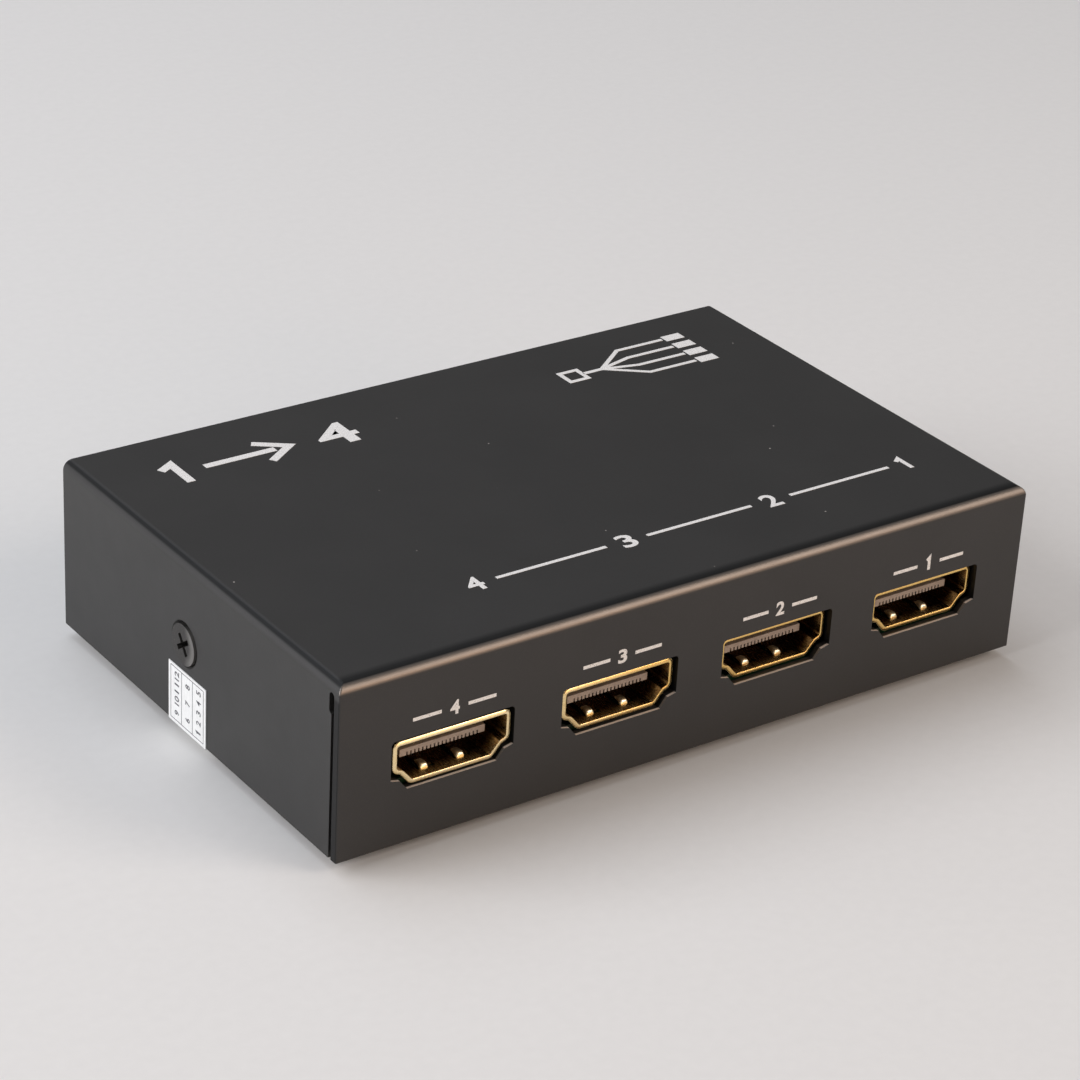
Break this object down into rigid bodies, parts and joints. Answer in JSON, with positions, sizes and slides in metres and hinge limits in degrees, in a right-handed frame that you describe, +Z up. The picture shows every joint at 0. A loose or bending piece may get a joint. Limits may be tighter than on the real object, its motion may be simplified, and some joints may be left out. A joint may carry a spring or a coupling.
{
  "type": "hdmi splitter",
  "caption": "Flat folded steel box with a front row of stepped video sockets, side screws, and a rear input, power jack, slide switch and lamp.",
  "frame": {"origin": "centre of the case's footprint, in the plane the feet stand on", "axes": "+X to the right seen from the front, +Y from the row of output sockets to the rear wall, +Z up"},
  "size_m": [0.0954, 0.0614, 0.0229],
  "materials": {
    "painted_steel": "matt dark grey powder coat with a fine texture",
    "black_steel": "black zinc plate, satin",
    "zinc_steel": "bright zinc plate",
    "gold_plate": "gold flash on steel, semi-gloss",
    "ivory_plastic": "moulded glass-filled plastic, pale ivory",
    "black_plastic": "moulded black plastic",
    "foot_rubber": "matt black rubber",
    "seal_paper": "white label paper",
    "board_laminate": "green solder mask, semi-gloss",
    "tin_plate": "tin plate",
    "lamp_resin": "clear-tinted red resin",
    "chip_resin": "black moulding resin",
    "can_metal": "bright drawn aluminium",
    "coil_ferrite": "pressed dark grey ferrite"
  },
  "bodies": {
    "case": {"top_cover": "painted_steel", "base_tray": "painted_steel", "case_screw_left": "black_steel", "case_screw_right": "black_steel", "seal_label": "seal_paper", "foot_front_left": "foot_rubber", "foot_front_right": "foot_rubber", "foot_rear_left": "foot_rubber", "foot_rear_right": "foot_rubber", "standoffs": "zinc_steel", "board_screws": "zinc_steel", "main_board": "board_laminate", "jack_body": "black_plastic", "jack_spring": "tin_plate", "jack_pin": "tin_plate", "switch_frame": "zinc_steel", "switch_base": "black_plastic", "switch_terminals": "tin_plate", "power_lamp": "lamp_resin", "lamp_leads": "tin_plate", "splitter_chip": "chip_resin", "control_chip": "chip_resin", "voltage_regulator": "chip_resin", "clock_crystal": "tin_plate", "power_coil": "coil_ferrite", "filter_cans": "can_metal", "surge_arrays": "chip_resin", "output_1_shell": "gold_plate", "output_1_block": "ivory_plastic", "output_1_contacts": "gold_plate", "output_2_shell": "gold_plate", "output_2_block": "ivory_plastic", "output_2_contacts": "gold_plate", "output_3_shell": "gold_plate", "output_3_block": "ivory_plastic", "output_3_contacts": "gold_plate", "output_4_shell": "gold_plate", "output_4_block": "ivory_plastic", "output_4_contacts": "gold_plate", "input_shell": "gold_plate", "input_block": "ivory_plastic", "input_contacts": "gold_plate"},
    "lever": {"switch_lever": "black_plastic"}
  },
  "joints": [
    {"name": "power_switch", "type": "slide", "parent": "case", "child": "lever", "axis": [1, 0, 0], "range_m": [0, 0.002]}
  ]
}
